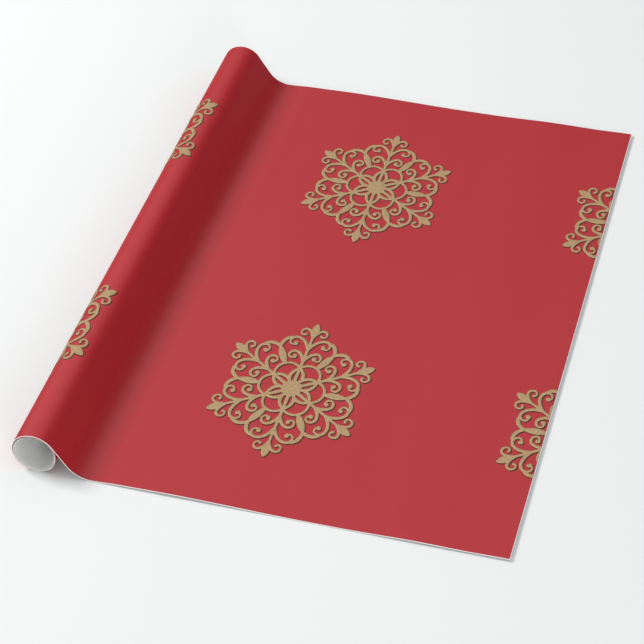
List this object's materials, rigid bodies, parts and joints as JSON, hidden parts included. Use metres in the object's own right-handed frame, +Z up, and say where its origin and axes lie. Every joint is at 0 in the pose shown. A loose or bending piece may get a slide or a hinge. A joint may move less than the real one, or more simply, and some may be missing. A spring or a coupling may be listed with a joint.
{
  "type": "wrapping paper roll",
  "caption": "Roll of gift wrap on a paperboard core, partly unrolled: the sheet leaves the top of the roll, comes down in a curve and lies flat.",
  "frame": {"origin": "on the table under the middle of the whole part's box", "axes": "+Y along the roll and across the sheet, +X from the roll towards the sheet's free edge, +Z up"},
  "size_m": [0.54, 0.762, 0.0502],
  "materials": {
    "printed_paper": "satin",
    "wound_paper": "matte",
    "core_board": "matte",
    "core_liner": "matte",
    "gold_print": "satin"
  },
  "bodies": {
    "sheet": {"flat_sheet": "printed_paper", "sheet_rise": "printed_paper", "outer_turn": "printed_paper"},
    "coil": {"wound_coil": "wound_paper"},
    "core": {"core_outer_ply": "core_board", "core_inner_ply": "core_liner"}
  },
  "joints": [
    {"name": "coil_turn", "type": "hinge", "parent": "sheet", "child": "coil", "pos_m": [-0.24465, 0, 0.02465], "axis": [0, 1, 0], "range_deg": [-30, 30]},
    {"name": "core_slide", "type": "slide", "parent": "coil", "child": "core", "axis": [0, 1, 0], "range_m": [-0.38, 0.38]}
  ]
}
